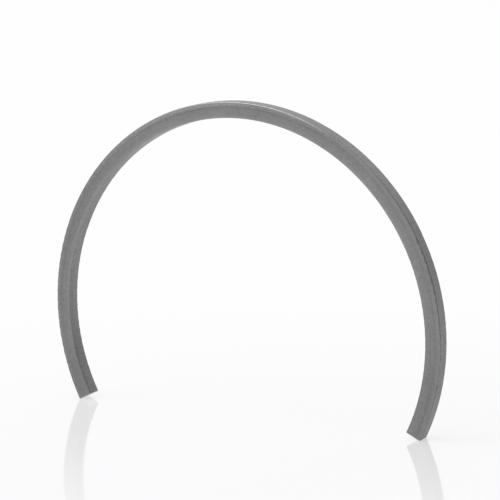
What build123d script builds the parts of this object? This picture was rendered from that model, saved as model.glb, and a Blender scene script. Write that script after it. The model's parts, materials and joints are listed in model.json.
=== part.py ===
"""Locating ring for a bearing housing: an open ring bent from steel bar with rounded edges.

The ring's axis is Y and the origin lies on it, half way through the ring's width.
The opening is at the bottom, so the ring stands on the outer corners of its two cut ends.
"""

import os
from math import cos, radians, sin

from build123d import *

# Driving dimensions, in millimetres and degrees
seat_diameter = 140.0  # outside of the ring, which lies in the bore of the housing
radial_thickness = 5.1  # height of the bar, from the inside of the ring to its seat
ring_width = 5.0  # width of the bar, which fills the gap beside the bearing
arc_angle = 232.7  # how far the ring reaches round its axis
bar_edge_radius = 0.5  # rounding of the bar's four long edges, as it is drawn
cut_edge_radius = 0.15  # rounding round the two ends, where the saw's burr is taken off

# Middle of the bar, as a distance from the ring's axis
bar_radius = (seat_diameter - radial_thickness) / 2

# The arc is centred on +Z, so it starts as far below +X as it ends below -X
first_end_angle = 90 - arc_angle / 2
first_end_direction = (cos(radians(first_end_angle)), 0, sin(radians(first_end_angle)))
towards_second_end = (-sin(radians(first_end_angle)), 0, cos(radians(first_end_angle)))
first_end_plane = Plane(
    origin=(0, 0, 0), x_dir=first_end_direction, z_dir=towards_second_end
)

# Revolving about -Y takes the bar from the first end up and over to the second
ring_axis = Axis((0, 0, 0), (0, -1, 0))

with BuildPart() as locating_ring:
    with BuildSketch(first_end_plane) as bar_section:
        with Locations((bar_radius, 0)):
            RectangleRounded(radial_thickness, ring_width, bar_edge_radius)
    revolve(axis=ring_axis, revolution_arc=arc_angle)

    # The middles of the two cut ends lie lower than those of the flat front and back
    cut_ends = locating_ring.faces().filter_by(GeomType.PLANE).sort_by(Axis.Z)[:2]
    fillet(cut_ends.edges(), radius=cut_edge_radius)

locating_ring.part.label = "locating_ring"

os.makedirs("parts", exist_ok=True)
export_step(locating_ring.part, "parts/locating_ring.step")
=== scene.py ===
"""Looks of a bearing locating ring: the drawn steel, the floor, the studio and the camera."""

import json
from math import acos, cos, pi, radians, sin

import bpy
from mathutils import Matrix, Vector


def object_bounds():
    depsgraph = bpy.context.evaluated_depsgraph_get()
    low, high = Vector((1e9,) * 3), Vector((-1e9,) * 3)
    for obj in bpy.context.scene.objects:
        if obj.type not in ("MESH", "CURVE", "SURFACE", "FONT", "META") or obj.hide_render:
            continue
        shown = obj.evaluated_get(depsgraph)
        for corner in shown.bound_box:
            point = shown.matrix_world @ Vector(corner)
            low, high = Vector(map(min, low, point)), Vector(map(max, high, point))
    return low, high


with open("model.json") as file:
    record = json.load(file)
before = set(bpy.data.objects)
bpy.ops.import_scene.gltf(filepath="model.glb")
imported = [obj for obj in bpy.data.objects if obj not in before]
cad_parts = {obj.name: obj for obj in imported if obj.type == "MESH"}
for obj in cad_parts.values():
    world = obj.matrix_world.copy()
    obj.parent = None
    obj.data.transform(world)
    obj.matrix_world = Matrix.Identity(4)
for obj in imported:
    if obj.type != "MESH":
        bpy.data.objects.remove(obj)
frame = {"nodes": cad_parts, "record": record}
cad_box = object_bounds()

# ------------------------------------------------------------------ locating ring
# One open ring of plain steel bar. The bar is drawn through a die, which leaves fine lines
# along it and rubs its rounded edges bright, then bent round on its edge and sawn off at
# both ends. The bar itself is neither painted nor plated, but part of its light and shade
# is painted into its colour: highlights on its edges and bands, and shade and light on its
# walls and toward its feet.


class Socket:
    """An output of a node. Arithmetic on it adds Math nodes to its tree."""

    def __init__(self, tree, output):
        self.tree = tree
        self.output = output

    def __add__(self, other):
        return self.tree.math("ADD", self, other)

    def __radd__(self, other):
        return self.tree.math("ADD", other, self)

    def __sub__(self, other):
        return self.tree.math("SUBTRACT", self, other)

    def __rsub__(self, other):
        return self.tree.math("SUBTRACT", other, self)

    def __mul__(self, other):
        return self.tree.math("MULTIPLY", self, other)

    def __rmul__(self, other):
        return self.tree.math("MULTIPLY", other, self)

    def __pow__(self, other):
        return self.tree.math("POWER", self, other)

    def __abs__(self):
        return self.tree.math("ABSOLUTE", self)


class Tree:
    """The nodes of a material or a world. They start empty, and one method adds them all."""

    def __init__(self, owner):
        owner.use_nodes = True
        self.nodes = owner.node_tree.nodes
        self.links = owner.node_tree.links
        self.nodes.clear()

    def node(self, kind, settings, inputs, output=0):
        """Adds a node, sets it up, fills its inputs by name or number, and gives an output."""
        added = self.nodes.new(kind)
        for name, setting in settings.items():
            setattr(added, name, setting)
        for key, value in inputs.items():
            if isinstance(value, Socket):
                self.links.new(value.output, added.inputs[key])
            else:
                added.inputs[key].default_value = value
        return Socket(self, added.outputs[output]) if added.outputs else None

    def math(self, operation, *values):
        """The result of a Math node on these values and sockets."""
        return self.node("ShaderNodeMath", {"operation": operation}, dict(enumerate(values)))

    def step(self, value, start, end):
        """A smooth step from 0 at start to 1 at end."""
        return self.node(
            "ShaderNodeMapRange",
            {"interpolation_type": "SMOOTHSTEP"},
            {"Value": value, "From Min": start, "From Max": end},
        )

    def noise(self, place, scale, detail):
        """Noise from about -0.5 to 0.5, with a mean of 0."""
        cloud = self.node(
            "ShaderNodeTexNoise", {}, {"Vector": place, "Scale": scale, "Detail": detail}
        )
        return cloud - 0.5


mm = 0.001
mounts = {mount["name"]: mount for mount in frame["record"]["mounts"]}
seat_radius = mounts["housing_seat"]["dims"]["r_mm"] * mm
bar_width = mounts["housing_seat"]["dims"]["length_mm"] * mm
bar_radius = mounts["front_face"]["pos_m"][2]
bore_radius = 2 * bar_radius - seat_radius
half_arc = acos(cad_box[0].z / seat_radius)

drawn_steel = bpy.data.materials.new("drawn_steel")
tree = Tree(drawn_steel)

# Where a point lies: its distances from the bore, the seat, the nearer side and the nearer
# cut end, and its angle from the top of the ring, which is positive to the right
place = tree.node("ShaderNodeTexCoord", {}, {}, "Object")
across, endways, upward = (
    tree.node("ShaderNodeSeparateXYZ", {}, {"Vector": place}, axis) for axis in "XYZ"
)
radius = (across * across + upward * upward) ** 0.5
angle = tree.math("ARCTAN2", across, upward)
from_bore = radius - bore_radius
from_seat = seat_radius - radius
from_side = bar_width / 2 - abs(endways)
from_cut = (half_arc - abs(angle)) * bar_radius


def along_arc(middle, inner, outer):
    """1 up to an inner angle away from a middle one, and 0 past an outer angle, in degrees."""
    return 1 - tree.step(abs(angle - radians(middle)), radians(inner), radians(outer))


# Stretches of the arc where the steel's colour is made lighter or darker than the rest: first
# those on the left, then those on the right, and then those on both sides. Most of them carry
# painted light and shade
# Painted highlights high on the left, on the line by the seat and on the dull band
upper_left_sheen = along_arc(-20, 18, 30)
left_band_sheen = along_arc(-38, 4, 10)
# A patch on the left where the steel is a little darker and its bore edge lighter
dull_patch = along_arc(-56, 5, 19)
left_leg = 1 - tree.step(angle, radians(-98), radians(-86))
# Painted highlight on the seat edge high on the right, painted shade on the seat and its edge
top_right_glint = along_arc(18, 3, 12)
shoulder = along_arc(26, 4, 18)
right_seat_shade = along_arc(52, 20, 32)
right_foot = tree.step(angle, radians(84), radians(92))
right_toe = tree.step(angle, radians(98), radians(108))
# Painted shade toward both feet, and the legs and feet, where the walls get painted light and shade
ends_shade = 1 - along_arc(-6, 75, 112)
legs = 1 - along_arc(0, 68, 86)
feet = 1 - along_arc(0, 98, 112)

# Bands along the two sides, from the bore outward: a rubbed one, a dull one, and a bright line
# by the seat. They are partly rubbed finish and partly painted light: a painted highlight makes
# the line brightest and the dull band lighter high on the left, and painted shade dims the line
# on the right. They drift outward a little from one end of the bar to the other, and the line
# lies further in at the right foot
side_fade = (0.1 * mm, 0.4 * mm)
bore_band_fade = (0.3 * mm, 1.9 * mm)
dull_band_rise = (2.4 * mm, 3.3 * mm)
dull_band_fade = (3.5 * mm, 4.1 * mm)
seat_line_rise = (3.6 * mm, 4.2 * mm)
seat_line_fade = (4.4 * mm, 4.9 * mm)
drift_per_radian = 0.1 * mm
foot_inset = 0.4 * mm
on_side = 1 - tree.step(from_side, *side_fade)
drifted = from_bore - angle * drift_per_radian
inset = right_foot * foot_inset
bore_band = 1 - tree.step(drifted, *bore_band_fade)
dull_band = tree.step(drifted, *dull_band_rise) - tree.step(drifted + inset, *dull_band_fade)
seat_line = tree.step(drifted + inset, *seat_line_rise) - tree.step(
    from_bore + inset, *seat_line_fade
)
bore_band_shine = 0.10
dull_band_depth = 0.09 - left_band_sheen * 0.10 + right_toe * 0.07 - left_leg * 0.04
seat_line_shine = 0.07 + upper_left_sheen * 0.14 - right_seat_shade * 0.06 - right_foot * 0.05
bands = on_side * (
    bore_band * bore_band_shine - dull_band * dull_band_depth + seat_line * seat_line_shine
)

# The rounded long edges. Their extra lightness is partly where the die rubs hardest and partly
# painted highlight and reflection, with a painted highlight along the seat edge high on the
# right, and painted shade on the seat edge on the right and on both edges toward the feet
edge_fade = (0.3 * mm, 0.8 * mm)
bore_edge = 1 - tree.step(tree.math("MAXIMUM", from_bore, from_side), *edge_fade)
seat_edge = 1 - tree.step(tree.math("MAXIMUM", from_seat, from_side), *edge_fade)
bore_edge_shine = 0.08 + dull_patch * 0.06 - ends_shade * 0.22
seat_edge_shine = (
    0.08
    + top_right_glint * seat_edge * 0.26
    - right_seat_shade * 0.20
    + ends_shade * 0.10
    - feet * 0.16
    + right_foot * 0.06
)

# Painted shade and light on the walls: the bore is darker down the legs, less so toward its
# back, and lighter at the feet. The seat is darker down the legs and on the shoulder
wall_fade = (0.05 * mm, 0.3 * mm)
on_bore = 1 - tree.step(from_bore, *wall_fade)
on_seat = 1 - tree.step(from_seat, *wall_fade)
back_shine = (endways + 1.5 * mm) * 50
bore_shade = feet * 0.35 - legs * (0.14 - back_shine)
seat_shade = 0.02 - legs * 0.13 - shoulder * 0.10

# Fine lines run along the bar, so their noise is stretched along the arc. A matt grain and
# faint cloudy patches cover them. The grain is fainter where the bar is rubbed, and stronger
# in the line by the seat on the left. The bending rolls left faint marks on the bore and the
# seat, which run across them from side to side
line_stretch = 0.03
roll_stretch = 0.15
lined = tree.node(
    "ShaderNodeCombineXYZ",
    {},
    {"X": radius, "Y": endways, "Z": angle * bar_radius * line_stretch},
)
rolled = tree.node(
    "ShaderNodeCombineXYZ", {}, {"X": angle * bar_radius, "Y": endways * roll_stretch}
)
grain_depth = (
    1 + seat_line * (0.4 - across * 12) - bore_band * 0.2 - seat_edge * 0.8 - bore_edge * 0.4
)
lines = tree.noise(lined, scale=2500, detail=3)
grain = tree.noise(place, scale=2200, detail=3) * grain_depth
clouds = tree.noise(place, scale=60, detail=2)
roll_marks = tree.noise(rolled, scale=1300, detail=2) * (on_bore + on_seat)

# All of these together make the grey of the drawn steel, with its painted light and shade. It
# is a touch lighter toward the right, a little darker on the patch on the left, and darker
# toward the ends in painted shade
drawn_grey = (0.2345, 0.2303, 0.2308)
drawn_shade = (
    (1.0 + bands)
    * (1.0 + bore_edge * bore_edge_shine)
    * (1.0 + seat_edge * seat_edge_shine)
    * (1.0 + lines * 0.24 + grain * 0.68 + roll_marks * 0.55 + clouds * 0.20)
    * (1.0 + across * 0.25 - dull_patch * 0.05 - ends_shade * 0.105)
    * (1.0 + on_bore * bore_shade + on_seat * seat_shade)
)
drawn_colour = tree.node(
    "ShaderNodeVectorMath", {"operation": "SCALE"}, {0: drawn_grey, "Scale": drawn_shade}
)

# The sawn ends are brighter, with the marks of the saw across them
cut_fade = (0.02 * mm, 0.2 * mm)
saw_stretch = 0.06
sawn_grey = (0.46, 0.455, 0.45)
sawn = 1 - tree.step(from_cut, *cut_fade)
sawing = tree.node("ShaderNodeCombineXYZ", {}, {"X": radius, "Y": endways * saw_stretch})
saw_marks = tree.noise(sawing, scale=4500, detail=2)
sawn_colour = tree.node(
    "ShaderNodeVectorMath",
    {"operation": "SCALE"},
    {0: sawn_grey, "Scale": 1.0 + saw_marks * 0.5},
)

# A Mix node takes its two colours at inputs 6 and 7 and gives the mixed one at output 2
colour = tree.node(
    "ShaderNodeMix", {"data_type": "RGBA"}, {0: sawn, 6: drawn_colour, 7: sawn_colour}, 2
)
roughness = (
    0.40 - bore_edge * 0.06 - seat_edge * (0.15 - legs * 0.12) + grain * 0.12 + lines * 0.08
)
scratches = lines * 0.6 + grain * 0.6 + sawn * saw_marks * 1.5
bump = tree.node(
    "ShaderNodeBump", {}, {"Strength": 0.12, "Distance": 0.1 * mm, "Height": scratches}
)
steel = tree.node(
    "ShaderNodeBsdfPrincipled",
    {},
    {"Base Color": colour, "Metallic": 1.0, "Roughness": roughness, "Normal": bump},
)
tree.node("ShaderNodeOutputMaterial", {}, {"Surface": steel})
frame["nodes"]["locating_ring"].data.materials[0] = drawn_steel

# ------------------------------------------------------------------ floor
# A light table: a sheet of polished white acrylic that glows evenly from below, so the ring
# throws only a faint shadow on it. Its polish mirrors the ring near the feet, and it sags
# sideways a little. Further out it runs into the white of the studio without an edge.

table_size = 40
table_middle = (0.05, -0.11, 0)
near_floor = 0.08
far_floor = 0.31
plain_white = (1, 1, 1, 1)
sheet_white = (0.94, 0.94, 0.95, 1)
glow_white = (1, 1, 1.016, 1)
table_strength = 0.915
studio_strength = 0.988
glow_share = 0.75
polish_roughness = 0.07
polish_index = 1.8
sag = 0.02
mirror_share = 1.01
mirror_loss = 0.75
mirror_reach = 0.12

bpy.ops.object.select_all(action="DESELECT")
bpy.ops.mesh.primitive_plane_add(size=table_size, location=(0, 0, cad_box[0].z))
floor = bpy.context.object
floor.name = "floor"

acrylic = bpy.data.materials.new("acrylic")
tree = Tree(acrylic)
flat = tree.node(
    "ShaderNodeVectorMath",
    {"operation": "MULTIPLY"},
    {0: tree.node("ShaderNodeTexCoord", {}, {}, "Object"), 1: (1, 1, 0)},
)
sideways, forward = (
    tree.node("ShaderNodeSeparateXYZ", {}, {"Vector": flat}, axis) for axis in "XY"
)
distance = tree.node(
    "ShaderNodeVectorMath", {"operation": "DISTANCE"}, {0: flat, 1: table_middle}, "Value"
)

# The sheet and its glow are matt, and the sheet takes the ring's shadow. The polish lies over
# them, and it mirrors less in front of the ring and behind it
sheet = tree.node("ShaderNodeBsdfDiffuse", {}, {"Color": sheet_white})
glow = tree.node("ShaderNodeEmission", {}, {"Color": glow_white, "Strength": table_strength})
lit_sheet = tree.node("ShaderNodeMixShader", {}, {0: glow_share, 1: sheet, 2: glow})
sagging = tree.node(
    "ShaderNodeBump", {}, {"Strength": 1.0, "Distance": 1.0, "Height": sideways * -sag}
)
gloss = tree.node(
    "ShaderNodeBsdfGlossy",
    {},
    {"Color": plain_white, "Roughness": polish_roughness, "Normal": sagging},
)
fresnel = tree.node("ShaderNodeFresnel", {}, {"IOR": polish_index})
mirrors = mirror_share - tree.step(abs(forward), 0.0, mirror_reach) * mirror_loss
polished = tree.node("ShaderNodeMixShader", {}, {0: fresnel * mirrors, 1: lit_sheet, 2: gloss})

# Away from the ring the table gives way to the studio's own white
far_glow = tree.node(
    "ShaderNodeEmission", {}, {"Color": plain_white, "Strength": studio_strength}
)
far = tree.step(distance, near_floor, far_floor)
acrylic_surface = tree.node("ShaderNodeMixShader", {}, {0: far, 1: polished, 2: far_glow})
tree.node("ShaderNodeOutputMaterial", {}, {"Surface": acrylic_surface})
floor.data.materials.append(acrylic)

# ------------------------------------------------------------------ studio
# White walls light the ring from all round, less from the right, where they are far away. The
# camera, the steel and any glass see them in one plain white, and the steel sees them darker
# on the right too. A large softbox hangs high on the left, and a smaller one in front.

wall_strength = 0.93
studio = bpy.data.worlds.new("studio")
bpy.context.scene.world = studio
tree = Tree(studio)


def direction(azimuth, elevation):
    """The way from the ring to a place in the studio, by degrees from the front and up."""
    azimuth, elevation = radians(azimuth), radians(elevation)
    return Vector(
        (sin(azimuth) * cos(elevation), -cos(azimuth) * cos(elevation), sin(elevation))
    )


def toward(azimuth, elevation, reach):
    """1 towards a place in the studio, and less away from it, to 0 at a reach in degrees."""
    closeness = tree.node(
        "ShaderNodeVectorMath",
        {"operation": "DOT_PRODUCT"},
        {0: tree.node("ShaderNodeTexCoord", {}, {}, "Generated"), 1: direction(azimuth, elevation)},
        "Value",
    )
    return tree.step(closeness, cos(radians(reach)), 1.0)


right_side = toward(azimuth=115, elevation=5, reach=70)
behind = toward(azimuth=172, elevation=32, reach=35)
far_side = right_side * 0.50 - behind * 0.05
in_view, in_steel, in_glass = (
    tree.node("ShaderNodeLightPath", {}, {}, f"Is {ray} Ray")
    for ray in ("Camera", "Glossy", "Transmission")
)
seen = tree.math("MAXIMUM", tree.math("MAXIMUM", in_view, in_steel), in_glass)
seen_walls = tree.node(
    "ShaderNodeBackground",
    {},
    {"Color": plain_white, "Strength": studio_strength * (1.0 - in_steel * far_side)},
)
lit_walls = tree.node(
    "ShaderNodeBackground",
    {},
    {"Color": plain_white, "Strength": wall_strength * (1.0 - far_side)},
)
walls = tree.node("ShaderNodeMixShader", {}, {0: seen, 1: lit_walls, 2: seen_walls})
tree.node("ShaderNodeOutputWorld", {}, {"Surface": walls})


def softbox(name, azimuth, elevation, distance, size, strength):
    """A square lamp that faces the middle of the ring. A strength of 1 is as bright as white."""
    away = direction(azimuth, elevation)
    data = bpy.data.lights.new(name, "AREA")
    data.size = size
    data.energy = strength * pi * size * size
    lamp = bpy.data.objects.new(name, data)
    bpy.context.scene.collection.objects.link(lamp)
    lamp.location = (cad_box[0] + cad_box[1]) / 2 + away * distance
    lamp.rotation_euler = away.to_track_quat("Z", "Y").to_euler()


softbox("softbox_left", azimuth=-62, elevation=59, distance=1.2, size=0.7, strength=3.0)
softbox("softbox_front", azimuth=0, elevation=42, distance=1.2, size=0.6, strength=1.0)

# ------------------------------------------------------------------ camera
# A long lens that stands to the right of the ring's axis, looks a little down on the ring and
# is turned a little about its own axis.

view_azimuth = 30.695
view_elevation = 9.941
view_roll = radians(-1.881)
view_distance = 0.56602
aim = Vector((0.0042, 0, 0.0234))
back = direction(view_azimuth, view_elevation)

camera_data = bpy.data.cameras.new("camera")
camera_data.sensor_width = 36
camera_data.lens = 130.31
camera_data.clip_start = 0.01
camera = bpy.data.objects.new("camera", camera_data)
bpy.context.scene.collection.objects.link(camera)
level = back.to_track_quat("Z", "Y").to_matrix()
turned = (level @ Matrix.Rotation(view_roll, 3, "Z")).to_4x4()
camera.matrix_world = Matrix.Translation(aim + back * view_distance) @ turned
bpy.context.scene.camera = camera
bpy.context.scene.view_settings.view_transform = "Standard"
